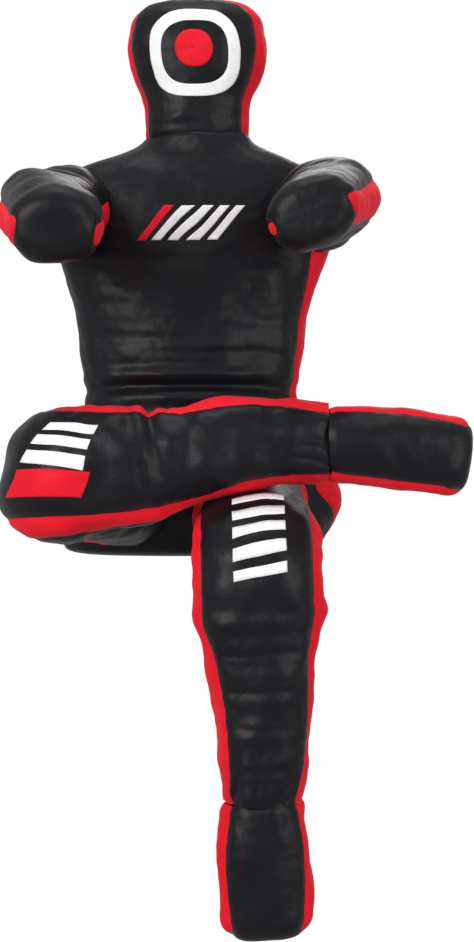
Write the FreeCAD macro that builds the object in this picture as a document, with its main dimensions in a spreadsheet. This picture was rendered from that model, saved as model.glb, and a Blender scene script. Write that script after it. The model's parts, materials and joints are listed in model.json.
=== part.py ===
"""Grappling dummy, seated, with both arms held out in front and the right leg crossed over the left.

Millimetres. The dummy faces -Y, its left side is +X and +Z is up. The origin lies on the flat seat
face under the pelvis. Every limb is a stuffed fabric tube: a filling inside a cover that is sewn
from two black panels and two red side gussets. A tube is modelled along its own +Z, from its first
joint to its second, with its width (gusset to gusset) along X and its depth (panel to panel) along Y.
"""
import FreeCAD, Part
import math
import os

from FreeCAD import Placement, Rotation, Vector

doc = FreeCAD.newDocument("grappling_dummy")
sheet = doc.addObject("Spreadsheet::Sheet", "dims")
nodes = []


# ---------------------------------------------------------------- driving dimensions

def put(alias, value):
    """Write one driving dimension into the sheet, on a row of its own."""
    put.row += 1
    sheet.set(f"A{put.row}", alias)
    sheet.set(f"B{put.row}", f"{value:g}")
    sheet.setAlias(f"B{put.row}", alias)
    put.value[alias] = value


put.row = 0
put.value = {}

DIMENSIONS = {
    "cloth": 2.0,             # cover, with its lining and seam allowance
    "ease": 0.2,              # between the cover and the filling
    "slip": 0.8,              # between a ball of filling and the hollow that turns on it
    "ink": 0.6,               # heat-transfer print standing on the cloth
    "waist_height": 265.0,
    "waist_ball": 90.0,
    "neck_height": 698.0,
    "neck_ball": 60.0,
    "hip_out": 95.0,
    "hip_back": -15.0,
    "hip_height": 98.0,
    "hip_ball": 86.0,
    "shoulder_out": 208.0,
    "shoulder_back": -5.0,
    "shoulder_height": 578.0,
    "shoulder_ball": 73.0,
    "elbow_ball": 58.0,
    "knee_ball": 70.0,
    "ankle_ball": 50.0,
    "target_wide": 158.0,
    "target_high": 146.0,
    "target_hole_wide": 114.0,
    "target_hole_high": 107.0,
    "target_corner": 52.0,
    "dot_radius": 30.0,
    "target_height": 849.0,
    "zip_long": 330.0,
    "zip_wide": 32.0,
    "zip_foot": 330.0,
}

# Each tube's stations: height along the tube, half width, half depth, and shift across the width.
TUBES = {
    "pelvis": [(0, 190, 95, 0), (55, 207, 106, 0), (150, 199, 107, 0), (245, 181, 101, 0)],
    "torso": [(285, 180, 101, 0), (400, 196, 107, 0), (500, 230, 105, 0), (590, 236, 92, 0),
              (645, 196, 78, 0), (684, 100, 70, 0)],
    "head": [(712, 89, 75, 0), (750, 90, 76, 0), (800, 105, 87, 0), (860, 116, 94, 0)],
    "upper_arm": [(0, 73, 71, 0), (95, 74, 67, 0), (189, 72, 62, 0)],
    "forearm": [(0, 72, 61, 0), (120, 71, 59, 0), (222, 69, 57, 0)],
    "right_thigh": [(0, 88, 86, 0), (170, 95, 85, 0), (339, 93, 76, 0)],
    "right_shin": [(0, 86, 70, 0), (150, 76, 65, -6), (260, 64, 58, -20), (378, 58, 54, -4)],
    "left_thigh": [(0, 88, 86, 0), (170, 92, 80, 0), (366, 93, 71, 0)],
    "left_shin": [(0, 94, 76, 0), (110, 86, 70, 0), (250, 72, 61, 0), (384, 61, 54, 0)],
    "foot": [(0, 61, 54, 0), (80, 69, 52, 0), (140, 70, 48, 0)],
}

# A tube that ends in the air closes in a dome of this height.
DOMES = {"head": 73, "forearm": 40, "foot": 58}

# The black panels reach this far across each tube; the red gussets take the rest.
PANEL_REACH = {"pelvis": 172, "torso": 172, "head": 104, "upper_arm": 60, "forearm": 60,
               "right_thigh": 80, "right_shin": 53, "left_thigh": 80, "left_shin": 58, "foot": 54}

for alias, value in DIMENSIONS.items():
    put(alias, value)
for tube, stations in TUBES.items():
    for index, (along, wide, deep, shift) in enumerate(stations):
        put(f"{tube}_{index}_along", along)
        put(f"{tube}_{index}_wide", wide)
        put(f"{tube}_{index}_deep", deep)
        put(f"{tube}_{index}_shift", shift)
for tube, dome in DOMES.items():
    put(f"{tube}_dome", dome)
for tube, reach in PANEL_REACH.items():
    put(f"{tube}_reach", reach)
doc.recompute()
dim = put.value


# ---------------------------------------------------------------- where the joints are

def left(point):
    """The same point on the other side of the body."""
    return Vector(-point.x, point.y, point.z)


WAIST = Vector(0, 0, dim["waist_height"])
NECK = Vector(0, 0, dim["neck_height"])
RIGHT_HIP = Vector(-dim["hip_out"], dim["hip_back"], dim["hip_height"])
LEFT_HIP = left(RIGHT_HIP)
RIGHT_KNEE = Vector(-159, -345, 143)
LEFT_KNEE = Vector(104, -375, 34)
RIGHT_ANKLE = Vector(217, -345, 179)
LEFT_ANKLE = Vector(114, -375, -350)
RIGHT_SHOULDER = Vector(-dim["shoulder_out"], dim["shoulder_back"], dim["shoulder_height"])
RIGHT_ELBOW = Vector(-217, -190, 556)
RIGHT_FIST = Vector(-192, -403, 507)
FOOT_REACH = 198


def along(start, end, width):
    """The placement of a tube from start to end, with its width as near to the given direction."""
    axis = (end - start).normalize()
    across = (width - axis * width.dot(axis)).normalize()
    return Placement(start, Rotation(across, axis.cross(across), axis, "ZXY"))


RIGHT_FOOT_END = RIGHT_ANKLE + Vector(FOOT_REACH, 0, -20)
LEFT_FOOT_END = LEFT_ANKLE + Vector(5, -18, -FOOT_REACH)
ACROSS = Vector(1, 0, 0)
DOWN = Vector(0, 0, -1)


# ---------------------------------------------------------------- making the tubes

def add(kind, name):
    return doc.addObject(kind, name)


def bind(thing, **sizes):
    """Bind sizes of an object to expressions on the sheet."""
    for size, expression in sizes.items():
        thing.setExpression(size, expression)
    return thing


def ring(name, tube, index, grow, lift):
    """One elliptical station of a tube, grown by an expression."""
    station = add("Part::Ellipse", name)
    prefix = f"dims.{tube}_{index}"
    bind(station, MajorRadius=f"{prefix}_wide + {grow}", MinorRadius=f"{prefix}_deep + {grow}")
    station.setExpression("Placement.Base.x", f"{prefix}_shift")
    station.setExpression("Placement.Base.z", f"{prefix}_along + {lift}")
    return station


def envelope(tube, label, grow, floor=False):
    """The closed outer form of a tube, grown by an expression; a floor lifts its first station."""
    name = f"{label}_form"
    count = len(TUBES[tube])
    rings = []
    for index in range(count):
        lift = f"-({grow})" if floor and index == 0 else "0"
        rings.append(ring(f"{name}_ring_{index}", tube, index, grow, lift))
    body = add("Part::Loft", f"{name}_tube")
    body.Sections = rings
    body.Solid = True
    body.Ruled = False
    if tube not in DOMES:
        return body
    dome = add("Part::Ellipsoid", f"{name}_dome")
    last = f"dims.{tube}_{count - 1}"
    bind(dome, Radius1=f"dims.{tube}_dome + {grow}", Radius2=f"{last}_deep + {grow}",
         Radius3=f"{last}_wide + {grow}")
    dome.Angle1 = 0
    dome.Placement.Rotation = Rotation(Vector(0, 0, 1), 90)
    dome.setExpression("Placement.Base.z", f"{last}_along")
    dome.setExpression("Placement.Base.x", f"{last}_shift")
    return fuse(name, body, dome)


def cut(name, base, tool):
    result = add("Part::Cut", name)
    result.Base = base
    result.Tool = tool
    return result


def fuse(name, *shapes):
    result = add("Part::MultiFuse", name)
    result.Shapes = list(shapes)
    return result


def common(name, base, tool):
    result = add("Part::Common", name)
    result.Base = base
    result.Tool = tool
    return result


def ball(name, centre, alias, grow="0"):
    """A sphere about a joint; grown by the slip, it is the hollow that turns on the ball."""
    sphere = bind(add("Part::Sphere", name), Radius=f"dims.{alias} + {grow}")
    sphere.Placement.Base = centre
    return sphere


def block(name, low, high, placement=None):
    """A box from its lowest to its highest corner, in a frame of its own."""
    box = add("Part::Box", name)
    box.Length = high.x - low.x
    box.Width = high.y - low.y
    box.Height = high.z - low.z
    frame = placement or Placement()
    box.Placement = frame.multiply(Placement(low, Rotation()))
    return box


HALF = 420.0     # half of a block that is larger than any tube


def mitre(name, toward, inner, outer, radius, height=0.0, far_end=False):
    """The block that trims a tube's end along a slanted plane.

    The plane stands off the joint by the inner distance on the side of the bend, which lies at
    the angle toward, and by the outer distance on the other side.
    """
    slope = math.degrees(math.atan2(inner - outer, 2 * radius))
    middle = (inner + outer) / 2
    turn = Rotation(Vector(0, 0, 1), toward)
    if far_end:
        frame = Placement(Vector(0, 0, height - middle), turn * Rotation(Vector(0, 1, 0), slope))
        return block(name, Vector(-HALF, -HALF, 0), Vector(HALF, HALF, HALF), frame)
    frame = Placement(Vector(0, 0, height + middle), turn * Rotation(Vector(0, 1, 0), -slope))
    return block(name, Vector(-HALF, -HALF, -HALF), Vector(HALF, HALF, 0), frame)


def keep(thing, label, placement=None):
    """Make an object a sub-part: name it, place it and list it for export."""
    thing.Label = label
    if placement is not None:
        thing.Placement = placement
    nodes.append(thing)
    return thing


def side_of_depth(name, tube, sign, gap=0.0):
    """The half of a tube's room in front of (-1) or behind (+1) its width, within its panels."""
    room = add("Part::Box", name)
    bind(room, Length=f"dims.{tube}_reach * 2 - {gap}")
    room.Width = HALF
    room.Height = 4 * HALF
    room.setExpression("Placement.Base.x", f"-dims.{tube}_reach + {gap / 2}")
    room.Placement.Base.y = 0.0 if sign > 0 else -HALF
    room.Placement.Base.z = -HALF
    return room


def segment(label, tube, placement, trims, balls=(), panels=None, floor=False):
    """One stuffed segment: its filling, its black panels and its red gussets.

    trims are cut from all of it. balls are a joint's ball forms as pairs of centre and size; each is
    filling that is added, and the cloth stands clear of it.
    panels names the two sides apart, or is None where one cut of cloth runs round the end.
    """
    outer = envelope(tube, f"{label}_outer", "0")
    inner = envelope(tube, f"{label}_inner", "-dims.cloth", floor)
    core = envelope(tube, f"{label}_core", "-dims.cloth - dims.ease", floor)
    cloth = cut(f"{label}_cloth", outer, inner)
    stuffing = core
    for trim in trims:
        cloth = cut(f"{label}_cloth_{trim.Name}", cloth, trim)
        stuffing = cut(f"{label}_core_{trim.Name}", stuffing, trim)
    for index, (centre, size) in enumerate(balls):
        room = ball(f"{label}_ball_room_{index}", centre, size, "dims.ease")
        cloth = cut(f"{label}_cloth_off_ball_{index}", cloth, room)
        stuffing = fuse(f"{label}_core_and_ball_{index}", stuffing,
                        ball(f"{label}_ball_{index}", centre, size))
    keep(stuffing, f"{label}_filling", placement)
    front = side_of_depth(f"{label}_front_room", tube, -1)
    back = side_of_depth(f"{label}_back_room", tube, +1)
    middle = fuse(f"{label}_middle_room", front, back)
    if panels:
        keep(common(f"{label}_front", cloth, front), f"{label}_{panels[0]}", placement)
        keep(common(f"{label}_back", cloth, back), f"{label}_{panels[1]}", placement)
    else:
        keep(common(f"{label}_black", cloth, middle), f"{label}_panels", placement)
    keep(cut(f"{label}_red", cloth, middle), f"{label}_gussets", placement)


# ---------------------------------------------------------------- pelvis, torso and head

SHOULDER_SIDE = dim["shoulder_out"] - 75.0     # the arm turns outside this plane
ARM_LOWEST = 14.0                              # degrees that the arm may sink from rest


def pelvis():
    """The seated root: flat underneath, hollowed for both thighs, with the ball of the waist."""
    trims = []
    for side, hip in (("right", RIGHT_HIP), ("left", LEFT_HIP)):
        trims.append(ball(f"{side}_hip_hollow", hip, "hip_ball", "dims.slip"))
    trims.append(block("lap_room", Vector(-HALF, -HALF, -HALF),
                       Vector(HALF, dim["hip_back"], HALF)))
    segment("pelvis", "pelvis", Placement(), trims, [(WAIST, "waist_ball")],
            ("front_panel", "seat_panel"), floor=True)


def torso():
    """Chest and shoulders, hollowed for the waist and both arms, with the ball of the neck."""
    trims = [ball("waist_hollow", WAIST, "waist_ball", "dims.slip")]
    for side, shoulder in (("right", RIGHT_SHOULDER), ("left", left(RIGHT_SHOULDER))):
        trims.append(ball(f"{side}_shoulder_hollow", shoulder, "shoulder_ball", "dims.slip"))
        outward = HALF if side == "left" else -HALF
        near = SHOULDER_SIDE if side == "left" else -SHOULDER_SIDE
        low_x, high_x = min(near, outward), max(near, outward)
        trims.append(block(f"{side}_shoulder_top", Vector(low_x, -HALF, shoulder.z),
                           Vector(high_x, HALF, 2 * HALF)))
        turn = Placement(shoulder, Rotation(Vector(1, 0, 0), ARM_LOWEST))
        trims.append(block(f"{side}_arm_room",
                           Vector(low_x - shoulder.x, -HALF, -dim["shoulder_ball"] - 1),
                           Vector(high_x - shoulder.x, 0, HALF), turn))
    segment("torso", "torso", Placement(), trims, [(NECK, "neck_ball")],
            ("front_panel", "back_panel"))


def rounded_plate(name, wide, high, corner, height):
    """An upright plate with round corners, standing in front of the head."""
    body = add("Part::Box", f"{name}_block")
    bind(body, Length=f"dims.{wide}", Height=f"dims.{high}")
    body.Width = HALF
    body.setExpression("Placement.Base.x", f"-dims.{wide} / 2")
    body.setExpression("Placement.Base.z", f"dims.{height} - dims.{high} / 2")
    body.Placement.Base.y = -HALF
    doc.recompute()
    upright = []
    for index, edge in enumerate(body.Shape.Edges, 1):
        if abs(edge.tangentAt(edge.FirstParameter).y) > 0.9:
            upright.append((index, corner, corner))
    rounded = add("Part::Fillet", name)
    rounded.Base = body
    rounded.Edges = upright
    return rounded


def head():
    """Head and neck in one tube, with the printed ring and dot of the striking target."""
    segment("head", "head", Placement(), [ball("neck_hollow", NECK, "neck_ball", "dims.slip")],
            (), ("front_panel", "back_panel"))
    skin = print_layer("head", "head", "0", "dims.ink")
    corner = dim["target_corner"]
    outline = rounded_plate("target_outline", "target_wide", "target_high", corner, "target_height")
    opening = rounded_plate("target_opening", "target_hole_wide", "target_hole_high", corner - 20,
                            "target_height")
    keep(common("ring_print", skin, cut("ring_outline", outline, opening)), "target_ring")
    dot = bind(add("Part::Cylinder", "dot_outline"), Radius="dims.dot_radius")
    dot.Height = HALF
    dot.Placement = Placement(Vector(0, 0, dim["target_height"]), Rotation(Vector(1, 0, 0), 90))
    keep(common("dot_print", skin, dot), "target_dot")


def print_layer(label, tube, inside, outside):
    """The thin skin between two growths of a tube, for prints and trim that follow its surface."""
    tag = outside.replace(" ", "").replace(".", "_").replace("+", "_")
    outer = envelope(tube, f"{label}_{tag}_over", outside)
    inner = envelope(tube, f"{label}_{tag}_under", inside)
    return cut(f"{label}_{tag}_layer", outer, inner)


# ---------------------------------------------------------------- arms

ELBOW_TRIM = (37, 6, 72)      # cover kept back inside and outside the bend, and reach of the trim


def arm(side):
    """Upper arm with the balls of shoulder and elbow, and forearm with its blunt fist."""
    mirror = (lambda point: point) if side == "right" else left
    shoulder, elbow, fist = mirror(RIGHT_SHOULDER), mirror(RIGHT_ELBOW), mirror(RIGHT_FIST)
    inward = 0 if side == "right" else 180
    length = (elbow - shoulder).Length
    upper = along(shoulder, elbow, ACROSS)
    trim = mitre(f"{side}_upper_arm_elbow", inward, *ELBOW_TRIM, length, far_end=True)
    balls = [(Vector(), "shoulder_ball"), (Vector(0, 0, length), "elbow_ball")]
    segment(f"{side}_upper_arm", "upper_arm", upper, [trim], balls)
    fore = along(elbow, fist, ACROSS)
    hollow = ball(f"{side}_elbow_hollow", Vector(), "elbow_ball", "dims.slip")
    trim = mitre(f"{side}_forearm_elbow", inward, *ELBOW_TRIM)
    segment(f"{side}_forearm", "forearm", fore, [trim, hollow])


# ---------------------------------------------------------------- legs

HIP_STANDOFF = 52.0       # the thigh's cover starts this far from the hip, to leave room to swing
THIGH_TRIM_REACH = 90.0
ANKLE_STANDOFF = 13.0     # shin and foot covers each end this far from the ankle
ANKLE_TRIM_REACH = 60.0


def leg(side, points, widths, knee_trims, shin_panels):
    """Thigh with the balls of hip and knee, shin with the ball of the ankle, and foot."""
    hip, knee, ankle, toe = points
    length = (knee - hip).Length
    thigh_trim, shin_trim = knee_trims
    balls = [(Vector(), "hip_ball"), (Vector(0, 0, length), "knee_ball")]
    trim = mitre(f"{side}_thigh_knee", *thigh_trim, height=length, far_end=True)
    start = mitre(f"{side}_thigh_hip", 0, HIP_STANDOFF, HIP_STANDOFF, THIGH_TRIM_REACH)
    segment(f"{side}_thigh", f"{side}_thigh", along(hip, knee, widths[0]), [trim, start],
            balls, ("back_panel", "front_panel"))
    length = (ankle - knee).Length
    hollow = ball(f"{side}_knee_hollow", Vector(), "knee_ball", "dims.slip")
    start = mitre(f"{side}_shin_knee", *shin_trim)
    trim = mitre(f"{side}_shin_ankle", 0, ANKLE_STANDOFF, ANKLE_STANDOFF, ANKLE_TRIM_REACH, length,
                 far_end=True)
    segment(f"{side}_shin", f"{side}_shin", along(knee, ankle, widths[1]), [start, hollow, trim],
            [(Vector(0, 0, length), "ankle_ball")], shin_panels)
    hollow = ball(f"{side}_ankle_hollow", Vector(), "ankle_ball", "dims.slip")
    start = mitre(f"{side}_foot_ankle", 0, ANKLE_STANDOFF, ANKLE_STANDOFF, ANKLE_TRIM_REACH)
    segment(f"{side}_foot", "foot", along(ankle, toe, widths[2]), [start, hollow])


# ---------------------------------------------------------------- prints and the filling zip

def bars(name, count, size, step, start, placement):
    """A row of equal slanted bars, as one group of separate blocks."""
    pieces = []
    for index in range(count):
        corner = start + step * index
        pieces.append(block(f"{name}_bar_{index}", corner, corner + size, placement))
    return fuse(f"{name}_bars", *pieces)


def prints():
    """Plain marks in the places where such a dummy carries its trade prints."""
    skin = print_layer("torso", "torso", "0", "dims.ink")
    frame = Placement(Vector(0, 0, 545), Rotation(Vector(0, 1, 0), 18))
    chest = bars("chest", 5, Vector(13, HALF, 58), Vector(30, 0, 0), Vector(-67, -HALF, -29), frame)
    keep(common("chest_marks", skin, chest), "chest_print")

    skin = print_layer("left_shin", "left_shin", "0", "dims.ink")
    marks = bars("left_shin", 4, Vector(62, HALF, 16), Vector(0, 0, 27), Vector(-31, 0, 92),
                 Placement())
    keep(common("left_shin_marks", skin, marks), "left_shin_print", LEFT_SHIN_FRAME)

    skin = print_layer("right_shin", "right_shin", "0", "dims.ink")
    marks = bars("right_shin", 4, Vector(62, HALF, 15), Vector(0, 0, 27), Vector(-24, -HALF, 32),
                 Placement())
    keep(common("right_shin_marks", skin, marks), "right_shin_print", RIGHT_SHIN_FRAME)


def back_zip():
    """The filling zip down the back of the torso: tape, teeth, slider and pull."""
    foot, long, wide = dim["zip_foot"], dim["zip_long"], dim["zip_wide"]
    tape_room = block("zip_tape_room", Vector(-wide / 2, 0, foot), Vector(wide / 2, HALF, foot + long))
    tape = print_layer("zip_tape", "torso", "0", "1")
    keep(common("zip_tape", tape, tape_room), "back_zip_tape")
    tooth_pitch = 7.5
    tooth_count = int((long - 30) / tooth_pitch)
    teeth = []
    for index in range(tooth_count):
        low = foot + 10 + index * tooth_pitch
        teeth.append(block(f"zip_tooth_{index}", Vector(-4, 0, low), Vector(4, HALF, low + 5)))
    relief = print_layer("zip_teeth", "torso", "1", "3")
    keep(common("zip_teeth", relief, fuse("zip_tooth_rooms", *teeth)), "back_zip_teeth")
    top = foot + long - 18
    slider_room = block("zip_slider_room", Vector(-8, 0, top - 14), Vector(8, HALF, top))
    slider = print_layer("zip_slider", "torso", "3.1", "6")
    keep(common("zip_slider", slider, slider_room), "back_zip_slider")
    pull_room = block("zip_pull_room", Vector(-5, 0, top - 46), Vector(5, HALF, top - 2))
    pull = print_layer("zip_pull", "torso", "6.2", "7.8")
    keep(common("zip_pull", pull, pull_room), "back_zip_pull")


# ---------------------------------------------------------------- the whole dummy

LEFT_SHIN_FRAME = along(LEFT_KNEE, LEFT_ANKLE, ACROSS)
RIGHT_SHIN_FRAME = along(RIGHT_KNEE, RIGHT_ANKLE, DOWN)

pelvis()
torso()
head()
for side_name in ("right", "left"):
    arm(side_name)
leg("right", (RIGHT_HIP, RIGHT_KNEE, RIGHT_ANKLE, RIGHT_FOOT_END), (ACROSS, DOWN, DOWN),
    ((0, 86, 6, 93), (90, 112, 6, 68)), ("front_panel", "back_panel"))
leg("left", (LEFT_HIP, LEFT_KNEE, LEFT_ANKLE, LEFT_FOOT_END), (ACROSS, ACROSS, ACROSS),
    ((-90, 86, 6, 75), (-90, 86, 6, 75)), ("back_panel", "front_panel"))
prints()
back_zip()
doc.recompute()

failed = [thing.Name for thing in doc.Objects if {"Invalid", "Error"} & set(thing.State)]
if failed:
    raise RuntimeError(f"objects failed: {failed}")
for node in nodes:
    if node.Shape.isNull() or not node.Shape.isValid() or not node.Shape.Solids:
        raise RuntimeError(f"bad shape: {node.Label}")

os.makedirs("parts", exist_ok=True)
for node in nodes:
    node.Shape.exportStep(f"parts/{node.Label}.step")
    print(f"{node.Label:28s} {len(node.Shape.Solids):3d} solids {node.Shape.Volume / 1000:10.1f} cm3")
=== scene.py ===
"""Grappling dummy: sewn and stuffed cloth skins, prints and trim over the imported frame.

Lengths are millimetres until a mesh is written, which is in metres like the frame. Every limb is a
tube of cloth about a smooth centreline. Across the tube, W points from gusset to gusset and D from
panel to panel; each cloth tube is two black panels and two red gussets, split at four seams.
"""

import json
import math

import bmesh
import bpy
import numpy as np
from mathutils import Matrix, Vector


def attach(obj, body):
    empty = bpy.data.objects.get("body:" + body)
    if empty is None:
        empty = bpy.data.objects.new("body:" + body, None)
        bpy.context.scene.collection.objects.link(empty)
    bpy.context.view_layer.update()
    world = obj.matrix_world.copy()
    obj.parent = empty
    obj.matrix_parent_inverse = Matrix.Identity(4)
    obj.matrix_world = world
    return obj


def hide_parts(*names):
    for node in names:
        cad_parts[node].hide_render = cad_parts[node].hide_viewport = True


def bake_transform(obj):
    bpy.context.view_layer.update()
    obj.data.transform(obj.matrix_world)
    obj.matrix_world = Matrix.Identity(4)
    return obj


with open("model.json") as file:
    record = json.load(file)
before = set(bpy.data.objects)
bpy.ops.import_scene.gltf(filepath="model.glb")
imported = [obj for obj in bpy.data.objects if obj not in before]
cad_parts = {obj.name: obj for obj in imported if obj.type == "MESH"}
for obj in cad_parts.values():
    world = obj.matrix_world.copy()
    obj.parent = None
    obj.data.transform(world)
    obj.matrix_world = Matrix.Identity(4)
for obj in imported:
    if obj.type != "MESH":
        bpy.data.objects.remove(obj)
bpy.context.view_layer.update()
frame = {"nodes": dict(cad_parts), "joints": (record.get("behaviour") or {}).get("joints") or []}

JOINT = {joint["name"]: np.array(joint["pos_m"]) * 1000 for joint in frame["joints"]}
MM = 0.001
BLACK, RED = 0, 1
HEAD_SHIFT = 9.0         # the stuffed head leans a little toward its left

ROW_PITCH = 6.0          # mesh rows along a tube
COLUMN_PITCH = 6.5       # mesh columns round a tube
PATH_SAMPLES = 400       # points that measure the length of a centreline

SEAM_GROOVE = 3.2        # half width of the stitched groove itself
SEAM_SHOULDER = 11.0     # and of the softer dip beside it
SEAM_CALM = 18.0         # lumps fade out this near to a seam
GUSSET_GONE = 4.0        # a gusset this narrow has no seams left
GUSSET_FULL = 18.0       # and from this width its seams have their full depth
LUMPS, BUMPS, CREPE = 120, 48, 19     # wavelengths of the filling's lumps and of the cloth's unevenness

WELD = 0.0004            # metres within which the points of a closed end merge
FILM = 0.0006            # metres of thickness of a transfer print


# ------------------------------------------------------------------ tube geometry

def smooth_path(knots, values, at):
    """Cubic Hermite interpolation of rows of values at knots, with finite-difference slopes."""
    knots = np.asarray(knots, float)
    values = np.asarray(values, float)
    slopes = np.gradient(values, knots, axis=0)
    index = np.clip(np.searchsorted(knots, at, side="right") - 1, 0, len(knots) - 2)
    step = (knots[index + 1] - knots[index])[:, None]
    t = ((at - knots[index]) / step[:, 0])[:, None]
    a, b = values[index], values[index + 1]
    return ((2 * t ** 3 - 3 * t ** 2 + 1) * a + (t ** 3 - 2 * t ** 2 + t) * step * slopes[index]
            + (-2 * t ** 3 + 3 * t ** 2) * b + (t ** 3 - t ** 2) * step * slopes[index + 1])


def unit(rows):
    """Each row scaled to a length of one."""
    return rows / np.linalg.norm(rows, axis=-1, keepdims=True)


class Station:
    """One section of a tube: its centre, half width, half depth and the four seam angles.

    The angles are degrees from the +W and -W ends of the section: up toward +D, down toward -D.
    """

    def __init__(self, centre, wide, deep, plus=(28, 28), minus=(28, 28), square=2.25, roll=0):
        self.row = [*centre, wide, deep, square, plus[0], plus[1], minus[0], minus[1], roll]


class Tube:
    """A closed grid of points round a smooth centreline, split by four seams.

    A dome is a height and a bluntness: a small bluntness keeps the end square, a large one points it.
    """

    def __init__(self, stations, width_axis, start_dome=None, end_dome=None):
        rows = np.array([station.row for station in stations], float)
        chord = np.r_[0, np.cumsum(np.linalg.norm(np.diff(rows[:, :3], axis=0), axis=1))]
        fine = np.linspace(0, chord[-1], PATH_SAMPLES)
        path = smooth_path(chord, rows[:, :3], fine)
        length = np.r_[0, np.cumsum(np.linalg.norm(np.diff(path, axis=0), axis=1))]
        count = max(4, int(length[-1] / ROW_PITCH))
        at = np.interp(np.linspace(0, length[-1], count + 1), length, fine)
        table = smooth_path(chord, rows, at)
        tangent = unit(np.gradient(table[:, :3], axis=0))
        shrink = np.ones(len(table))
        along = np.interp(at, fine, length)
        for dome, first in ((start_dome, True), (end_dome, False)):
            if dome is None:
                continue
            height, blunt = dome
            steps = np.linspace(0, math.pi / 2, max(5, int(1.6 * height / ROW_PITCH)) + 1)[1:]
            reach = height * np.sin(steps)
            scale = np.maximum(np.cos(steps), 0) ** blunt
            scale[-1] = 0
            end = 0 if first else -1
            sign = -1 if first else 1
            extra = np.repeat(table[end][None], len(steps), axis=0)
            extra[:, :3] += sign * reach[:, None] * tangent[end]
            ends = np.repeat(tangent[end][None], len(steps), axis=0)
            far = along[end] + sign * reach
            if first:
                table, tangent = np.r_[extra[::-1], table], np.r_[ends, tangent]
                shrink, along = np.r_[scale[::-1], shrink], np.r_[far[::-1], along]
            else:
                table, tangent = np.r_[table, extra], np.r_[tangent, ends]
                shrink, along = np.r_[shrink, scale], np.r_[along, far]
        self.centre = table[:, :3]
        axis = np.broadcast_to(np.asarray(width_axis, float), tangent.shape)
        level = unit(axis - tangent * np.sum(axis * tangent, axis=1, keepdims=True))
        upright = np.cross(tangent, level)
        roll = np.radians(table[:, 10:11])
        self.across = level * np.cos(roll) + upright * np.sin(roll)
        self.depth = np.cross(tangent, self.across)
        self.along = along
        self.wide = table[:, 3] * shrink
        self.deep = table[:, 4] * shrink
        self.square = table[:, 5]
        self.angles = np.radians(table[:, 6:10])
        self.shrink = shrink

    def tongue(self, reach):
        """Let each gusset narrow with the rounded end, where the panels run on over it."""
        edge = np.clip(reach / np.maximum(self.wide, 1e-6), 0, 1)
        limit = np.arccos(edge)
        on_dome = self.shrink < 1
        self.angles[on_dome] = np.minimum(self.angles[on_dome], limit[on_dome, None])
        return self

    def strip(self):
        """Let the gusset keep its width over a rounded end, as a strip between two round panels."""
        widened = np.sin(self.angles) / np.maximum(self.shrink[:, None], 1e-6)
        on_dome = self.shrink < 1
        limit = np.arcsin(np.clip(widened, -1, 1))
        self.angles[on_dome] = limit[on_dome]
        return self

    def columns(self):
        """Angle of every column at every row, and the columns where the seams lie."""
        up_p, down_p, up_m, down_m = self.angles.T
        widest = self.wide.max()
        deepest = self.deep.max()
        perimeter = math.pi * (widest + deepest)
        seams = [-down_p, up_p, math.pi - up_m, math.pi + down_m, 2 * math.pi - down_p]
        spans = [float(np.median(b - a)) for a, b in zip(seams, seams[1:])]
        counts = [max(4, int(perimeter * span / (2 * math.pi) / COLUMN_PITCH)) for span in spans]
        blocks = []
        for a, b, count in zip(seams, seams[1:], counts):
            t = np.arange(count) / count
            blocks.append(a[:, None] + (b - a)[:, None] * t)
        self.seam_columns = np.cumsum([0] + counts[:-1])
        return np.concatenate(blocks, axis=1)

    def build(self):
        """Base points and normals, with each point's distance round and to its nearest seam."""
        theta = self.columns()
        cosine, sine = np.cos(theta), np.sin(theta)
        power = 2 / self.square[:, None]
        w = np.sign(cosine) * np.abs(cosine) ** power * self.wide[:, None]
        d = np.sign(sine) * np.abs(sine) ** power * self.deep[:, None]
        self.theta = theta
        points = (self.centre[:, None] + w[..., None] * self.across[:, None]
                  + d[..., None] * self.depth[:, None])
        self.points = points
        self.normals = grid_normals(points)
        step = np.linalg.norm(np.roll(points, -1, axis=1) - points, axis=2)
        self.round = np.cumsum(step, axis=1) - step
        self.girth = step.sum(axis=1)
        self.seam_gap = np.full(theta.shape, 1e9)
        self.seam_index = np.zeros(theta.shape, int)
        for index, column in enumerate(self.seam_columns):
            gap = np.abs(self.round - self.round[:, column][:, None])
            gap = np.minimum(gap, self.girth[:, None] - gap)
            nearer = gap < self.seam_gap
            self.seam_gap[nearer] = gap[nearer]
            self.seam_index[nearer] = index
        radius = self.wide / 2 + self.deep / 2
        spans = [self.angles[:, :2].sum(axis=1) * radius, self.angles[:, 2:].sum(axis=1) * radius]
        live = np.stack([np.clip((span - GUSSET_GONE) / (GUSSET_FULL - GUSSET_GONE), 0, 1)
                         for span in spans])
        self.seam_live = live[self.seam_index // 2, np.arange(len(theta))[:, None]]
        return self

    def panel_of(self, column):
        """Which of the four pieces of cloth a column of faces belongs to."""
        return int(np.searchsorted(self.seam_columns, column, side="right") - 1)


def grid_normals(points):
    """Outward normals of a grid that closes round its columns."""
    around = np.roll(points, -1, axis=1) - np.roll(points, 1, axis=1)
    down = np.gradient(points, axis=0)
    normal = np.cross(around, down)
    length = np.linalg.norm(normal, axis=2, keepdims=True)
    return normal / np.maximum(length, 1e-9)


# ------------------------------------------------------------------ folds, gathers and lumps

def waves(points, wavelength, seed, count=28):
    """A smooth random field of unit size: a sum of plane waves with random directions."""
    rng = np.random.default_rng(seed)
    directions = unit(rng.normal(size=(count, 3)))
    numbers = 2 * math.pi / (wavelength * rng.uniform(0.7, 1.5, count))
    phases = rng.uniform(0, 2 * math.pi, count)
    field = np.zeros(points.shape[:-1])
    for direction, number, phase in zip(directions, numbers, phases):
        field += np.sin(points @ (direction * number) + phase)
    return field * math.sqrt(2 / count)


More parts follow.
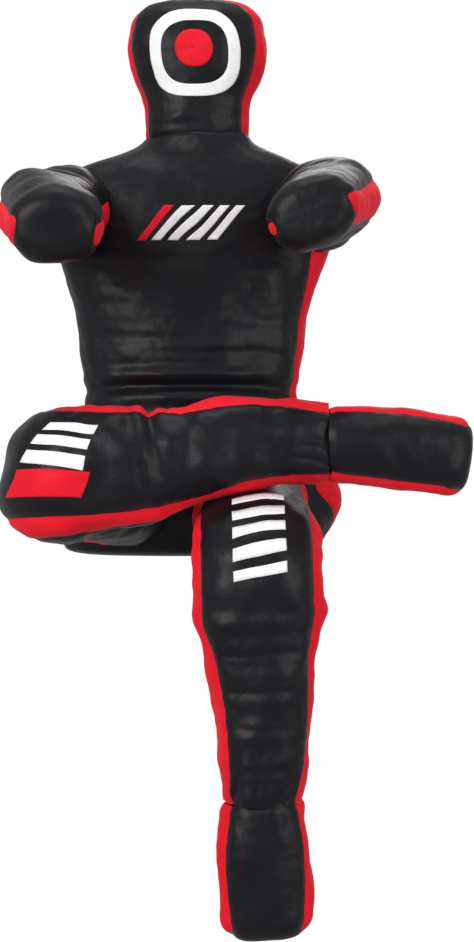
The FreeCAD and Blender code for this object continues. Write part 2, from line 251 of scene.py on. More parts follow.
def gathers(tube, seed, pitch=17.0, depth=1.8, reach=26.0, limits=None):
    """Short puckers that run out of every seam where the cloth is eased in."""
    rng = np.random.default_rng(seed)
    along = tube.along[:, None]
    total = np.zeros(tube.theta.shape)
    low, high = limits or (tube.along[0], tube.along[-1])
    for index in range(4):
        for side in (-1, 1):
            here = (tube.seam_index == index) & (side_of_seam(tube, index) == side)
            place = low + rng.uniform(0, pitch)
            while place < high:
                size = depth * rng.uniform(0.35, 1.0)
                run = reach * rng.uniform(0.5, 1.4)
                lean = rng.uniform(-0.5, 0.5)
                narrow = rng.uniform(2.6, 5.0)
                gap = tube.seam_gap
                ridge = np.exp(-((along - place - lean * gap) / (narrow + 0.12 * gap)) ** 2)
                total -= np.where(here, size * ridge * np.exp(-(gap / run) ** 2), 0)
                place += pitch * rng.uniform(0.55, 1.6)
    return total


def pleats(tube, index, side, places, depth=3.5, reach=45.0, width=4.0):
    """Chosen long puckers that run out of one seam on one side."""
    here = (tube.seam_index == index) & (side_of_seam(tube, index) == side)
    total = np.zeros(tube.theta.shape)
    gap = tube.seam_gap
    for place, share in places:
        off = tube.along[:, None] - place
        valley = np.exp(-(off / (width + 0.05 * gap)) ** 2)
        lip = np.exp(-((np.abs(off) - 2.4 * width) / (1.4 * width)) ** 2)
        fade = np.exp(-(gap / (reach * share)) ** 2)
        total += np.where(here, depth * share * (0.5 * lip - valley) * fade, 0)
    return total


def side_of_seam(tube, index):
    """+1 for columns after a seam going round, -1 for those before it."""
    gap = tube.round - tube.round[:, tube.seam_columns[index]][:, None]
    girth = np.maximum(tube.girth[:, None], 1)
    gap = (gap + girth / 2) % girth - girth / 2
    return np.where(gap >= 0, 1, -1)


def crease(tube, at, facing, depth, width=7.0, spread=0.8, sag=0.0, lip=0.45):
    """A fold across the tube: a valley with a soft lip each side, fading round from its middle."""
    away = np.abs((np.degrees(tube.theta) - facing + 180) % 360 - 180)
    fade = np.exp(-(away / (90 * spread)) ** 2)
    bend = sag * (away / 90) ** 2
    off = tube.along[:, None] - at - bend
    valley = -np.exp(-(off / width) ** 2)
    lips = lip * (np.exp(-((off - 2.1 * width) / (1.5 * width)) ** 2)
                  + np.exp(-((off + 2.1 * width) / (1.5 * width)) ** 2))
    return depth * fade * (valley + lips)


def sewn(tube, seed, lumps=2.6, seam_depth=2.6, **gather):
    """The relief that every stuffed tube has: sunken seams, puckers beside them and soft lumps."""
    relief = -seam_depth * np.exp(-(tube.seam_gap / SEAM_GROOVE) ** 2)
    relief -= 0.6 * seam_depth * np.exp(-(tube.seam_gap / SEAM_SHOULDER) ** 2)
    relief += gathers(tube, seed, **gather)
    relief *= tube.seam_live
    calm = 1 - np.exp(-(tube.seam_gap / SEAM_CALM) ** 2)
    relief += lumps * calm * waves(tube.points, LUMPS, seed + 1)
    relief += 0.35 * lumps * calm * waves(tube.points, BUMPS, seed + 2)
    relief += 0.28 * waves(tube.points, CREPE, seed + 3)
    return relief * np.clip(tube.shrink * 1.6, 0, 1)[:, None]


# ------------------------------------------------------------------ meshes

def write_mesh(name, vertices, faces, slots, uvs, materials, merge=True):
    """A smooth mesh object in metres; slots give each face its material."""
    mesh = bpy.data.meshes.new(name)
    mesh.from_pydata((vertices * MM).tolist(), [], faces)
    layer = mesh.uv_layers.new(name="cloth")
    layer.data.foreach_set("uv", np.asarray(uvs, np.float32).ravel() * MM)
    for material in materials:
        mesh.materials.append(material)
    mesh.polygons.foreach_set("material_index", np.asarray(slots, np.int32))
    mesh.polygons.foreach_set("use_smooth", np.ones(len(faces), bool))
    if merge:
        work = bmesh.new()
        work.from_mesh(mesh)
        bmesh.ops.remove_doubles(work, verts=work.verts, dist=WELD)
        bmesh.ops.recalc_face_normals(work, faces=work.faces)
        work.to_mesh(mesh)
        work.free()
    mesh.update()
    thing = bpy.data.objects.new(name, mesh)
    bpy.context.scene.collection.objects.link(thing)
    return thing


def subdivide(thing, levels=1):
    """Round the mesh off."""
    modifier = thing.modifiers.new("round", "SUBSURF")
    modifier.levels = levels
    modifier.render_levels = levels


def skin(name, tube, relief, materials):
    """The cloth of one tube as a mesh, panels in black and gussets in red."""
    points = tube.points + tube.normals * relief[..., None]
    tube.skin_points = points
    tube.skin_normals = grid_normals(points)
    rows, columns = points.shape[:2]
    faces, slots, uvs = [], [], []
    for row in range(rows - 1):
        for column in range(columns):
            after = (column + 1) % columns
            a, b = row * columns + column, row * columns + after
            c, d = (row + 1) * columns + after, (row + 1) * columns + column
            faces.append((a, b, c, d))
            slots.append(RED if tube.panel_of(column) in (0, 2) else BLACK)
            near = tube.round[row, column]
            far = tube.round[row, after] if after else tube.girth[row]
            u_near = tube.round[row + 1, column]
            u_far = tube.round[row + 1, after] if after else tube.girth[row + 1]
            uvs += [(near, tube.along[row]), (far, tube.along[row]),
                    (u_far, tube.along[row + 1]), (u_near, tube.along[row + 1])]
    return write_mesh(name, points.reshape(-1, 3), faces, slots, uvs, materials)


def nearest(tube, point):
    """The row and column of a tube's grid that lie nearest to a point."""
    gap = np.linalg.norm(tube.skin_points - np.asarray(point, float), axis=2)
    return np.unravel_index(np.argmin(gap), gap.shape)


def on_cloth(tube, spot, flat, lift):
    """Places on a tube's cloth, given as millimetres round and along it from a grid point."""
    row, column = spot
    rows = np.interp(tube.along[row] + flat[:, 1], tube.along, np.arange(len(tube.along)))
    low = np.clip(np.floor(rows).astype(int), 0, len(tube.along) - 2)
    part = (rows - low)[:, None]
    points, normals = tube.skin_points, tube.skin_normals
    count = points.shape[1]
    ends = []
    for line in (low, low + 1):
        chord = points[line, (column + 4) % count] - points[line, (column - 4) % count]
        place = column + flat[:, 0] / (np.linalg.norm(chord, axis=1) / 8)
        first = np.floor(place).astype(int)
        share = (place - first)[:, None]
        here, after = first % count, (first + 1) % count
        ends.append((points[line, here] * (1 - share) + points[line, after] * share,
                     normals[line, here] * (1 - share) + normals[line, after] * share))
    spots = ends[0][0] * (1 - part) + ends[1][0] * part
    facing = unit(ends[0][1] * (1 - part) + ends[1][1] * part)
    return spots + facing * lift


def patch(corners, step=3.0):
    """A four-cornered patch as a grid of flat points and its faces."""
    a, b, c, d = [np.array(corner, float) for corner in corners]
    across = max(2, int(max(np.linalg.norm(b - a), np.linalg.norm(c - d)) / step))
    up = max(2, int(max(np.linalg.norm(d - a), np.linalg.norm(c - b)) / step))
    u, v = np.meshgrid(np.linspace(0, 1, across + 1), np.linspace(0, 1, up + 1))
    u, v = u.ravel()[:, None], v.ravel()[:, None]
    flat = (a * (1 - u) + b * u) * (1 - v) + (d * (1 - u) + c * u) * v
    width = across + 1
    faces = [(start, start + 1, start + width + 1, start + width)
             for row in range(up) for start in range(row * width, row * width + across)]
    return flat, faces


def oval_ring(outer, inner, square=2.6, around=96, rings=8):
    """A rounded-square ring, or a disc if inner is None."""
    angle = np.linspace(0, 2 * math.pi, around, endpoint=False)
    cosine, sine = np.cos(angle), np.sin(angle)
    shape = np.stack([np.sign(cosine) * np.abs(cosine) ** (2 / square),
                      np.sign(sine) * np.abs(sine) ** (2 / square)], axis=1)
    inner = (0.3, 0.3) if inner is None else inner
    flat = np.concatenate([shape * (np.array(outer) * (1 - t) + np.array(inner) * t)
                           for t in np.linspace(0, 1, rings + 1)])
    faces = [(k * around + i, k * around + (i + 1) % around, (k + 1) * around + (i + 1) % around,
              (k + 1) * around + i) for k in range(rings) for i in range(around)]
    return flat, faces


def print_on(name, tube, spot, shapes, materials, lift=0.6):
    """Transfer prints that follow a tube's cloth; shapes are (flat points, faces, material) triples."""
    vertices, faces, slots, uvs = [], [], [], []
    for flat, shape_faces, slot in shapes:
        start = sum(len(block) for block in vertices)
        vertices.append(on_cloth(tube, spot, flat, lift))
        for face in shape_faces:
            faces.append([start + index for index in face])
            slots.append(slot)
            uvs += [tuple(flat[index]) for index in face]
    thing = write_mesh(name, np.concatenate(vertices), faces, slots, uvs, materials, merge=False)
    film = thing.modifiers.new("film", "SOLIDIFY")
    film.thickness = FILM
    film.offset = 0
    return thing


# ------------------------------------------------------------------ the tubes of the dummy

def at(*values):
    """A point or a step as an array."""
    return np.array(values, float)


def bent(start, corner, end, count=5):
    """Points of a quadratic curve that turns a corner, without its first point."""
    t = (np.arange(1, count + 1) / count)[:, None]
    return (1 - t) ** 2 * start + 2 * t * (1 - t) * corner + t ** 2 * end


def trunk_tube():
    """Pelvis and torso, from the flat seat to the neck."""
    rows = [   # height, half width, half depth, seam angles at +W and -W, squareness
        (14, 214, 96, (34, 0), (34, 4), 2.5), (60, 242, 108, (34, 6), (34, 4), 2.4),
        (108, 250, 112, (30, 34), (40, 4), 2.3), (165, 222, 110, (26, 24), (44, -2), 2.3),
        (225, 190, 105, (22, 19), (46, -4), 2.3), (262, 178, 100, (22, 19), (46, -4), 2.3),
        (295, 181, 103, (22, 19), (46, -4), 2.3), (335, 187, 108, (22, 19), (46, -4), 2.3),
        (380, 192, 110, (22, 20), (44, -4), 2.3), (420, 199, 109, (22, 20), (42, -4), 2.3),
        (460, 213, 107, (22, 24), (40, -3), 2.3), (500, 226, 104, (22, 29), (36, -2), 2.3),
        (550, 233, 98, (20, 26), (30, 6), 2.3), (600, 233, 90, (12, 16), (18, 8), 2.2),
        (632, 221, 83, (4, 5), (5, 4), 2.1), (651, 196, 77, (1, 1), (1, 1), 2.1),
        (664, 163, 73, (1, 1), (1, 1), 2.1), (677, 126, 71, (1, 1), (1, 1), 2.1),
        (690, 98, 72, (1, 1), (1, 1), 2.1), (699, 89, 73, (1, 1), (1, 1), 2.1),
        (704, 84, 69, (1, 1), (1, 1), 2.1)]
    stations = [Station((0, 0, z), wide, deep, plus, minus, square)
                for z, wide, deep, plus, minus, square in rows]
    tube = Tube(stations, (1, 0, 0), start_dome=(14, 0.32)).build()
    tube.points[..., 0] += HEAD_SHIFT * np.clip((tube.points[..., 2] - 630) / 60, 0, 1)
    return tube


def head_tube():
    """Head and neck; the red strip runs up one side, over the top and down the other."""
    rows = [   # height, half width, half depth, seam angles at +W and -W
        (690, 82, 66, (26, 30), (26, 16)), (704, 87, 71, (26, 30), (26, 16)),
        (722, 88, 75, (26, 30), (26, 16)), (748, 88, 76, (26, 30), (26, 16)),
        (770, 93, 80, (26, 30), (26, 16)), (795, 104, 87, (26, 30), (26, 17)),
        (825, 113, 93, (25, 31), (26, 17)), (858, 117, 96, (25, 32), (26, 17)),
        (884, 112, 92, (26, 32), (27, 17))]
    stations = [Station((HEAD_SHIFT, 0, z), wide, deep, plus, minus, 2.3)
                for z, wide, deep, plus, minus in rows]
    return Tube(stations, (1, 0, 0), end_dome=(49, 0.62)).strip().build()


def arm_tube(side):
    """Upper arm and forearm with a blunt fist, its root tucked into the shoulder."""
    sign = 1 if side == "left" else -1
    shoulder, elbow = JOINT[f"{side}_shoulder_lift"], JOINT[f"{side}_elbow_bend"]
    fist = elbow + (at(-30, -226, -36) if side == "left" else at(28, -226, -56))
    outward = at(sign, 0, 0)
    raised = at(0, 0, 14 if side == "left" else -4)
    plus, minus = ((4, 52), (8, 12)) if side == "left" else ((14, 20), (6, 50))
    lean, blunt = (22, 51) if side == "left" else (-9, 57)     # roll and half depth of the fist
    stations = [
        Station(shoulder + at(-sign * 6, 34, 4), 66, 66, plus, minus),
        Station(shoulder + at(-sign * 2, 0, 2), 74, 71, plus, minus),
        Station(shoulder + at(0, -52, -2), 78, 70, plus, minus, 2.2, lean * 0.3),
        Station((shoulder + elbow) / 2 + outward * 6 + at(0, -10, 0) + raised, 79, 68, plus, minus,
                2.2, lean * 0.6),
        Station(elbow + outward * 7 + raised, 78, 66, plus, minus, 2.2, lean),
        Station(elbow * 0.6 + fist * 0.4 + outward * 4 + raised / 2, 76, 0.4 * blunt + 38, plus, minus,
                2.2, lean),
        Station(elbow * 0.2 + fist * 0.8, 74, 0.85 * blunt + 10, plus, minus, 2.2, lean),
        Station(fist, 72, blunt, plus, minus, 2.2, lean)]
    return Tube(stations, (1, 0, 0), (34, 0.55), (40, 0.46)).tongue(60).build()


def leg_tubes():
    """The thigh and shin of each side as one tube that turns at the knee."""
    hip, knee, ankle = JOINT["left_hip_lift"], JOINT["left_knee_straighten"], JOINT["left_ankle_flex"]
    start, end = knee + at(-1, 104, 17), knee + at(3, 0, -104)
    turn = bent(start, knee + at(0, -20, 18), end)
    left = [Station(hip + at(0, 46, 6), 84, 82), Station(hip + at(1, 0, 0), 88, 84),
            Station(hip + at(3, -110, -14), 91, 82), Station(start, 93, 76)]
    left += [Station(point, 95, deep) for point, deep in zip(turn, (73, 71, 72, 73, 74))]
    left += [Station(knee + at(7, 0, -165), 81, 68, (26, 12), (32, 36)),
             Station(knee + at(9, 0, -235), 74, 63, (16, 20), (40, 40)),
             Station(knee + at(10, 0, -310), 68, 58, (16, 30), (42, 40)),
             Station(ankle + at(0, 0, 14), 62, 54, (34, 34), (38, 38)),
             Station(ankle + at(0, 0, 4), 60, 53, (34, 34), (38, 38))]
    left_tube = Tube(left, (1, 0, 0), start_dome=(30, 0.5)).build()

    hip, knee, ankle = JOINT["right_hip_lift"], JOINT["right_knee_straighten"], JOINT["right_ankle_flex"]
    start, end = at(-176, -232, 130), at(-62, -345, 152)
    turn = bent(start, at(-254, -372, 130), end)
    plus, minus = (-8, 42), (40, 24)
    right = [Station(hip + at(6, 46, -2), 84, 84, plus, minus), Station(hip, 88, 88, plus, minus),
             Station(at(-128, -125, 112), 90, 90, plus, minus), Station(start, 94, 90, plus, minus)]
    right += [Station(point, wide, deep, plus, minus, 2.3, roll) for point, wide, deep, roll
              in zip(turn, (100, 103, 101, 94, 87), (90, 88, 84, 77, 71), (-7, -12, -11, -5, 0))]
    right += [Station(at(0, -345, 163), 75, 66, (14, 30), (34, 24)),
              Station(at(83, -345, 182), 67, 62, (30, 30), (34, 24)),
              Station(at(150, -345, 186), 61, 57, (30, 30), (36, 27)),
              Station(ankle + at(-14, 0, 4), 58, 54, (34, 34), (32, 30)),
              Station(ankle + at(-4, 0, 4), 57, 53, (34, 34), (32, 30))]
    right_tube = Tube(right, (0, 0, -1), start_dome=(30, 0.5)).build()
    return left_tube, right_tube


def foot_tubes():
    """Each foot from the ankle seam to its rounded toe."""
    ankle = JOINT["left_ankle_flex"]
    rows = [(4, 57, 50), (-3, 62, 54), (-16, 64, 55), (-55, 70, 56), (-110, 71, 53), (-160, 67, 48)]
    left = [Station(ankle + at(-0.035 * down, 0.06 * down, down), wide, deep, (34, 38), (36, 34), 2.35)
            for down, wide, deep in rows]
    left_tube = Tube(left, (1, 0, 0), end_dome=(36, 0.5)).tongue(53).build()
    ankle = JOINT["right_ankle_flex"]
    rows = [(-4, 54, 50, 4), (3, 58, 54, 4), (16, 60, 55, 3), (60, 62, 55, 0), (115, 63, 53, -6),
            (172, 61, 49, -14)]
    right = [Station(ankle + at(out, 0, rise), wide, deep, (34, 40), (34, 32), 2.35)
             for out, wide, deep, rise in rows]
    right_tube = Tube(right, (0, 0, -1), end_dome=(36, 0.46)).tongue(50).build()
    return left_tube, right_tube


# ------------------------------------------------------------------ materials

def node_material(name):
    """A new material with its nodes, links and main shader."""
    material = bpy.data.materials.new(name)
    material.use_nodes = True
    tree = material.node_tree
    return material, tree.nodes, tree.links, tree.nodes["Principled BSDF"]


def cloth_material(name, colour, roughness, thread=0.9, weave=0.12, mottled=0.5, sheen=0.25,
                   shine=0.4, tone=0.25):
    """Woven cloth: a fine weave and slight puckering in the relief, and uneven colour and gloss."""
    material, nodes, links, shader = node_material(name)
    shader.inputs["Roughness"].default_value = roughness
    shader.inputs["Sheen Weight"].default_value = sheen
    shader.inputs["Sheen Roughness"].default_value = 0.45
    shader.inputs["Specular IOR Level"].default_value = shine
    where = nodes.new("ShaderNodeTexCoord")

    threads = []
    for direction in ("X", "Y"):
        wave = nodes.new("ShaderNodeTexWave")
        wave.wave_type = "BANDS"
        wave.bands_direction = direction
        wave.inputs["Scale"].default_value = 1 / (thread * MM) / 3.2
        wave.inputs["Distortion"].default_value = 0.6
        wave.inputs["Detail"].default_value = 1.0
        links.new(where.outputs["UV"], wave.inputs["Vector"])
        threads.append(wave)
    woven = nodes.new("ShaderNodeMath")
    woven.operation = "MAXIMUM"
    links.new(threads[0].outputs["Fac"], woven.inputs[0])
    links.new(threads[1].outputs["Fac"], woven.inputs[1])

    pucker = nodes.new("ShaderNodeTexNoise")
    pucker.inputs["Scale"].default_value = 55
    pucker.inputs["Detail"].default_value = 5
    pucker.inputs["Roughness"].default_value = 0.55
    pucker.inputs["Distortion"].default_value = 0.4
    links.new(where.outputs["Object"], pucker.inputs["Vector"])

    coarse = nodes.new("ShaderNodeBump")
    coarse.inputs["Strength"].default_value = mottled
    coarse.inputs["Distance"].default_value = 0.0022
    links.new(pucker.outputs["Fac"], coarse.inputs["Height"])
    fine = nodes.new("ShaderNodeBump")
    fine.inputs["Strength"].default_value = weave
    fine.inputs["Distance"].default_value = 0.0003
    links.new(woven.outputs["Value"], fine.inputs["Height"])
    links.new(coarse.outputs["Normal"], fine.inputs["Normal"])
    links.new(fine.outputs["Normal"], shader.inputs["Normal"])

    patch = nodes.new("ShaderNodeTexNoise")
    patch.inputs["Scale"].default_value = 9
    patch.inputs["Detail"].default_value = 4
    links.new(where.outputs["Object"], patch.inputs["Vector"])
    shade = nodes.new("ShaderNodeValToRGB")
    shade.color_ramp.elements[0].position = 0.3
    shade.color_ramp.elements[0].color = (*[c * (1 - tone) for c in colour], 1)
    shade.color_ramp.elements[1].position = 0.7
    shade.color_ramp.elements[1].color = (*[min(1, c * (1 + tone)) for c in colour], 1)
    links.new(patch.outputs["Fac"], shade.inputs["Fac"])
    mix = nodes.new("ShaderNodeMix")
    mix.data_type = "RGBA"
    mix.blend_type = "MULTIPLY"
    mix.inputs["Factor"].default_value = 0.35
    links.new(shade.outputs["Color"], mix.inputs["A"])
    links.new(woven.outputs["Value"], mix.inputs["B"])
    links.new(mix.outputs["Result"], shader.inputs["Base Color"])
    return material


def print_material(name, colour):
    """Heat-transfer print: a smooth film with the weave just showing and a few fine cracks."""
    material, nodes, links, shader = node_material(name)
    shader.inputs["Roughness"].default_value = 0.55
    shader.inputs["Specular IOR Level"].default_value = 0.1
    where = nodes.new("ShaderNodeTexCoord")
    grain = nodes.new("ShaderNodeTexNoise")
    grain.inputs["Scale"].default_value = 420
    grain.inputs["Detail"].default_value = 3
    links.new(where.outputs["Object"], grain.inputs["Vector"])
    worn = nodes.new("ShaderNodeValToRGB")
    worn.color_ramp.elements[0].position = 0.25
    worn.color_ramp.elements[0].color = (*[c * 0.82 for c in colour], 1)
    worn.color_ramp.elements[1].position = 0.6
    worn.color_ramp.elements[1].color = (*colour, 1)
    links.new(grain.outputs["Fac"], worn.inputs["Fac"])
    links.new(worn.outputs["Color"], shader.inputs["Base Color"])
    bump = nodes.new("ShaderNodeBump")
    bump.inputs["Strength"].default_value = 0.15
    bump.inputs["Distance"].default_value = 0.0003
    links.new(grain.outputs["Fac"], bump.inputs["Height"])
    links.new(bump.outputs["Normal"], shader.inputs["Normal"])
    return material


def plain_material(name, colour, roughness, metallic=0.0):
    """A hard trim finish, with fine wear in its gloss and relief."""
    material, nodes, links, shader = node_material(name)
    shader.inputs["Base Color"].default_value = (*colour, 1)
    shader.inputs["Metallic"].default_value = metallic
    where = nodes.new("ShaderNodeTexCoord")
    wear = nodes.new("ShaderNodeTexNoise")
    wear.inputs["Scale"].default_value = 260
    wear.inputs["Detail"].default_value = 4
    links.new(where.outputs["Object"], wear.inputs["Vector"])
    gloss = nodes.new("ShaderNodeMapRange")
    gloss.inputs["To Min"].default_value = roughness * 0.8
    gloss.inputs["To Max"].default_value = min(1, roughness * 1.25)
    links.new(wear.outputs["Fac"], gloss.inputs["Value"])
    links.new(gloss.outputs["Result"], shader.inputs["Roughness"])
    bump = nodes.new("ShaderNodeBump")
    bump.inputs["Strength"].default_value = 0.2
    bump.inputs["Distance"].default_value = 0.0003
    links.new(wear.outputs["Fac"], bump.inputs["Height"])
    links.new(bump.outputs["Normal"], shader.inputs["Normal"])
    return material


black_cloth = cloth_material("black_satin_cloth", (0.0052, 0.0048, 0.0072), 0.42, shine=0.2, sheen=0.02)
red_cloth = cloth_material("red_cloth", (0.80, 0.012, 0.026), 0.6, shine=0.06, sheen=0.02, tone=0.12)
white_ink = print_material("white_transfer_print", (0.86, 0.86, 0.87))
red_ink = print_material("red_transfer_print", (0.74, 0.009, 0.022))
tape_cloth = plain_material("zip_tape_cloth", (0.012, 0.012, 0.014), 0.8)
black_plastic = plain_material("black_plastic", (0.01, 0.01, 0.011), 0.35)
grey_metal = plain_material("grey_metal", (0.32, 0.32, 0.33), 0.32, metallic=1.0)
CLOTH = [black_cloth, red_cloth]
INK = [white_ink, red_ink]
WHITE_INK, RED_INK = 0, 1


# ------------------------------------------------------------------ the sewn pieces

SIDES = ("right", "left")


def nodes_of(*words):
    """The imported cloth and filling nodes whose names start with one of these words."""
    return [name for name in frame["nodes"] if name.startswith(words) and not name.endswith("_print")]


def make_trunk():
    """Pelvis and torso in one cover, with a deep fold across the lap."""
    tube = trunk_tube()
    relief = sewn(tube, 11, lumps=1.8, pitch=18, depth=2.0, reach=26, limits=(60, 640))
    front = 270
    relief += crease(tube, 268, front, 11, width=9, spread=0.75, sag=-7, lip=0.7)
    for height, facing, depth, width, sag in (    # folds above the lap, then three at the back
            (300, 250, 3.2, 9, 6), (322, 292, 3.0, 8, -5), (345, 262, 2.4, 9, 8), (372, 285, 2.6, 10, 4),
            (401, 240, 2.0, 10, -9), (433, 300, 2.0, 11, 10), (470, 275, 1.6, 12, 6), (282, 90, 6, 10, 4),
            (318, 80, 3.0, 10, 5), (365, 100, 2.4, 12, -6)):
        relief += crease(tube, height, facing, depth, width=width, spread=0.5, sag=sag)
    flat = np.clip(tube.along / 40, 0, 1)[:, None]
    piece = skin("trunk_cover", tube, relief * flat, CLOTH)
    subdivide(piece)
    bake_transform(piece)
    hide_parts(*nodes_of("pelvis", "torso"))
    return tube


def make_head():
    """Head and neck, with slack folds round the neck."""
    tube = head_tube()
    relief = sewn(tube, 23, lumps=1.8, pitch=15, depth=1.2, reach=16, limits=(730, 900))
    for height, facing, depth in ((716, 250, 2.4), (727, 300, 2.2), (738, 270, 1.6), (722, 90, 2.4),
                                  (752, 230, 1.3), (760, 310, 1.3)):
        relief += crease(tube, height - 690, facing, depth, width=5, spread=0.55, sag=3)
    piece = skin("head_cover", tube, relief, CLOTH)
    subdivide(piece)
    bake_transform(piece)
    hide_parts(*nodes_of("head"))
    return tube


def make_arm(side):
    """One arm in one cover, which bends at the elbow."""
    tube = arm_tube(side)
    seed = 31 if side == "right" else 37
    relief = sewn(tube, seed, lumps=2.4, pitch=15, depth=1.7, reach=20)
    elbow_at = 34 + 210
    inner = 0 if side == "right" else 180
    for offset, facing, depth, sag in ((-12, inner, 4.0, 9), (8, inner + 30, 3.4, -6),
                                       (26, inner - 40, 2.6, 7), (-60, 90, 2.0, 9), (-92, 60, 2.2, 12),
                                       (60, 110, 1.6, -8), (-125, 90, 2.4, 10)):
        relief += crease(tube, elbow_at + offset - 34, facing, depth, width=8, spread=0.6, sag=sag)
    piece = skin(f"{side}_arm_cover", tube, relief, CLOTH)
    subdivide(piece)
    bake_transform(piece)
    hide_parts(*nodes_of(f"{side}_upper_arm", f"{side}_forearm"))
    return tube


def make_legs():
    """Thigh and shin of each side in one cover, which bends at the knee."""
    made = {}
    for side, tube in zip(("left", "right"), leg_tubes()):
        seed = 41 if side == "left" else 47
        relief = sewn(tube, seed, lumps=3.0, pitch=16, depth=2.0, reach=26)
        length = tube.along[-1]
        shin = [(length - 250, 90, 1.6, 6), (length - 205, 60, 1.0, -7), (length - 140, 120, 1.2, 8),
                (length - 84, 80, 1.0, -6), (length - 290, 110, 2.2, -8)]
        for place, facing, depth, sag in shin:
            facing = facing if side == "left" else facing + 180
            relief += crease(tube, place, facing, depth, width=10, spread=0.6, sag=sag)
        knee_at = length - (384 if side == "left" else 372)
        inside = 270 if side == "left" else 90
        for offset, depth, width in ((0, 9, 9), (-34, 5, 8), (36, 5, 8), (-66, 3, 8), (68, 3, 8)):
            relief += crease(tube, knee_at + offset, inside, depth, width=width, spread=0.75,
                             sag=0.12 * offset)
        relief += gathered_end(tube, length - 14, seed, depth=2.4, run=34)
        if side == "right":
            notch = length - 258
            relief += crease(tube, notch, 200, 8, width=9, spread=0.55, lip=0.3)
            places = [(notch - 52, 0.8), (notch - 30, 0.9), (notch, 1.3), (notch + 28, 1.0),
                      (notch + 60, 0.7)]
            relief += pleats(tube, 3, -1, places, depth=3.4, reach=42)
        else:
            for place, sag in ((length - 222, 5), (length - 166, -6), (length - 112, 4), (length - 52, 5)):
                relief += crease(tube, place, 96, 2.6, width=3.4, spread=0.8, sag=sag, lip=0.35)
        piece = skin(f"{side}_leg_cover", tube, relief, CLOTH)
        subdivide(piece)
        bend_knee(piece)
        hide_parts(*nodes_of(f"{side}_thigh", f"{side}_shin"))
        made[side] = tube
    return made


def bend_knee(piece):
    """Bake a piece's placement into its mesh; it keeps its shape and does not turn with the knee."""
    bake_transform(piece)


def make_feet():
    """Each foot in a cover of its own, gathered at the ankle seam."""
    for side, tube in zip(("left", "right"), foot_tubes()):
        seed = 53 if side == "left" else 59
        relief = sewn(tube, seed, lumps=2.2, pitch=12, depth=1.6, reach=18)
        relief += gathered_end(tube, 12, seed, depth=2.4, run=34)
        piece = skin(f"{side}_foot_cover", tube, relief, CLOTH)
        subdivide(piece)
        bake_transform(piece)
        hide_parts(*nodes_of(f"{side}_foot"))


def gathered_end(tube, place, seed, depth=1.6, run=24.0):
    """Small puckers all round a seam that crosses the tube at a place along it."""
    rng = np.random.default_rng(seed)
    relief = np.zeros(tube.theta.shape)
    off = tube.along[:, None] - place
    for _ in range(26):
        middle = rng.uniform(0, tube.girth.mean())
        lean = rng.uniform(-0.25, 0.25)
        away = tube.round - middle - lean * off
        girth = np.maximum(tube.girth[:, None], 1)
        away = (away + girth / 2) % girth - girth / 2
        relief -= depth * rng.uniform(0.4, 1) * np.exp(-(away / rng.uniform(3, 5.5)) ** 2) \
            * np.exp(-(off / (run * rng.uniform(0.5, 1.2))) ** 2)
    return relief


def slanted_bars(count, wide, high, step, slant):
    """Corners of a row of leaning bars, centred on both axes."""
    middles = [(index - (count - 1) / 2) * step for index in range(count)]
    return [[(middle - wide / 2 - slant, -high / 2), (middle + wide / 2 - slant, -high / 2),
             (middle + wide / 2 + slant, high / 2), (middle - wide / 2 + slant, high / 2)]
            for middle in middles]


def turned(corners):
    """The same corners with the two axes swapped, so that a row of bars runs along the tube."""
    return [(b, a) for a, b in corners]


def make_prints(trunk, head, legs):
    """The target on the head and plain marks on the chest and both shins."""
    ring, ring_faces = oval_ring((89, 70), (61, 51), square=2.45)
    dot, dot_faces = oval_ring((31, 30), None, square=2)
    for name, height, shape in (("target_ring", 829, (ring, ring_faces, WHITE_INK)),
                                ("target_dot", 835, (dot, dot_faces, RED_INK))):
        piece = print_on(name + "_print", head, nearest(head, (0, -96, height)), [shape], INK)
        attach(piece, "head")
        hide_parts(name)

    shapes = [(*patch(corners), RED_INK if index == 0 else WHITE_INK)
              for index, corners in enumerate(slanted_bars(5, 19, 58, 31, 9))]
    piece = print_on("chest_marks", trunk, nearest(trunk, (-3, -100, 548)), shapes, INK)
    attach(piece, "torso")
    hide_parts("chest_print")

    shapes = [(*patch(turned(corners)), WHITE_INK) for corners in slanted_bars(5, 10, 80, 18, 4)]
    spot = nearest(legs["left"], (104, -440, 84))
    piece = print_on("left_shin_marks", legs["left"], spot, shapes, INK)
    bend_knee(piece)
    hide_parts("left_shin_print")

    block = [(14, -26), (60, -24), (60, 34), (14, 36)]
    shapes = [(*patch(corners), WHITE_INK) for corners in slanted_bars(3, 18, 52, 28, 4)]
    shapes = [(flat - at(28, 0), faces, ink) for flat, faces, ink in shapes]
    shapes.append((*patch(block), RED_INK))
    shapes = [(flat - at(0, 0.3) * flat[:, :1], faces, ink) for flat, faces, ink in shapes]
    spot = nearest(legs["right"], (-186, -430, 158))
    piece = print_on("right_shin_marks", legs["right"], spot, shapes, INK)
    bend_knee(piece)
    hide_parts("right_shin_print")


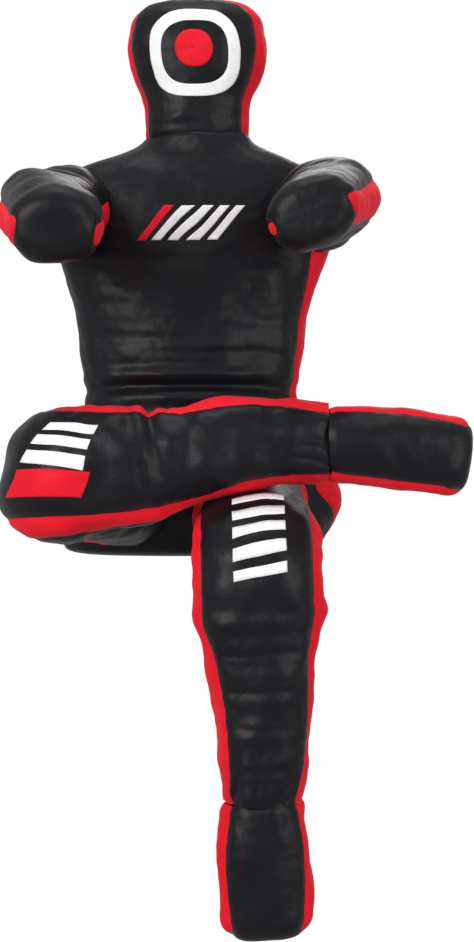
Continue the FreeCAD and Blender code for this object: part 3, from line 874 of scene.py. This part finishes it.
def make_zip(trunk):
    """The filling zip down the back: a woven tape, a row of teeth, a slider and its pull."""
    foot, length, wide, tooth_pitch = 330, 260, 30, 7.5
    spot = nearest(trunk, (0, 100, foot + length / 2))
    half = length / 2

    def strip(name, boxes, lift, thick, material, node):
        shapes = [(*patch([(-w, low), (w, low), (w, high), (-w, high)]), 0) for w, low, high in boxes]
        piece = print_on(name, trunk, spot, shapes, [material], lift)
        piece.modifiers["film"].thickness = thick * MM
        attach(piece, "torso")
        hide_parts(node)

    teeth = [(4, low, low + 5) for low in np.arange(10 - half, half - 20, tooth_pitch)]
    strip("zip_tape", [(wide / 2, -half, half)], 1.0, 1.0, tape_cloth, "back_zip_tape")
    strip("zip_teeth", teeth, 2.4, 1.8, black_plastic, "back_zip_teeth")
    strip("zip_slider", [(8, half - 32, half - 18)], 4.2, 3.6, grey_metal, "back_zip_slider")
    strip("zip_pull", [(5, half - 64, half - 20)], 7.4, 1.4, grey_metal, "back_zip_pull")


trunk = make_trunk()
head = make_head()
for arm_side in SIDES:
    make_arm(arm_side)
legs = make_legs()
make_feet()
make_prints(trunk, head, legs)
make_zip(trunk)


# ------------------------------------------------------------------ stage, light and camera

def area_light(name, place, target, size, power):
    """A rectangular light that points at a target."""
    light = bpy.data.lights.new(name, "AREA")
    light.shape = "RECTANGLE"
    light.size, light.size_y = size
    light.energy = power
    thing = bpy.data.objects.new(name, light)
    bpy.context.scene.collection.objects.link(thing)
    thing.location = place
    aim = Vector(target) - Vector(place)
    thing.rotation_euler = aim.to_track_quat("-Z", "Y").to_euler()


def stage():
    """A plain white surround, far off, that only the camera sees."""
    work = bmesh.new()
    bmesh.ops.create_uvsphere(work, u_segments=32, v_segments=16, radius=14)
    mesh = bpy.data.meshes.new("surround")
    work.to_mesh(mesh)
    work.free()
    surround = bpy.data.objects.new("surround", mesh)
    bpy.context.scene.collection.objects.link(surround)
    surround.visible_diffuse = False
    surround.visible_glossy = False
    surround.visible_shadow = False
    material, _, _, shader = node_material("studio_white")
    shader.inputs["Base Color"].default_value = (0, 0, 0, 1)
    shader.inputs["Specular IOR Level"].default_value = 0
    shader.inputs["Emission Color"].default_value = (1, 1, 1, 1)
    shader.inputs["Emission Strength"].default_value = 1
    mesh.materials.append(material)


def lights():
    """Soft light from low in front, a little from above and a faint rim from behind."""
    world = bpy.data.worlds.new("studio")
    bpy.context.scene.world = world
    world.use_nodes = True
    world.node_tree.nodes["Background"].inputs["Color"].default_value = (1, 1, 1, 1)
    world.node_tree.nodes["Background"].inputs["Strength"].default_value = 0.5
    area_light("key", (-1.8, -2.6, 0.9), (0, 0, 0.1), (1.2, 1.6), 62)
    area_light("fill", (2.2, -2.4, 0.6), (0, 0, 0.1), (1.2, 2.0), 34)
    area_light("top", (0, -0.5, 2.9), (0, 0, 0.4), (2.0, 1.0), 26)
    area_light("back", (0.6, 3.0, 2.4), (0, 0, 0.3), (1.6, 1.6), 24)


def camera():
    """Straight in front, nearly level with the lap, three metres away."""
    view_height = 1.592
    distance = 3.0
    data = bpy.data.cameras.new("camera")
    data.sensor_fit = "VERTICAL"
    data.sensor_height = 36
    data.lens = 36 * distance / view_height
    thing = bpy.data.objects.new("camera", data)
    bpy.context.scene.collection.objects.link(thing)
    thing.location = (0.076, -distance, 0.142)
    thing.rotation_euler = (math.pi / 2, 0, 0)
    bpy.context.scene.camera = thing


stage()
lights()
camera()
bpy.context.scene.view_settings.view_transform = "Standard"
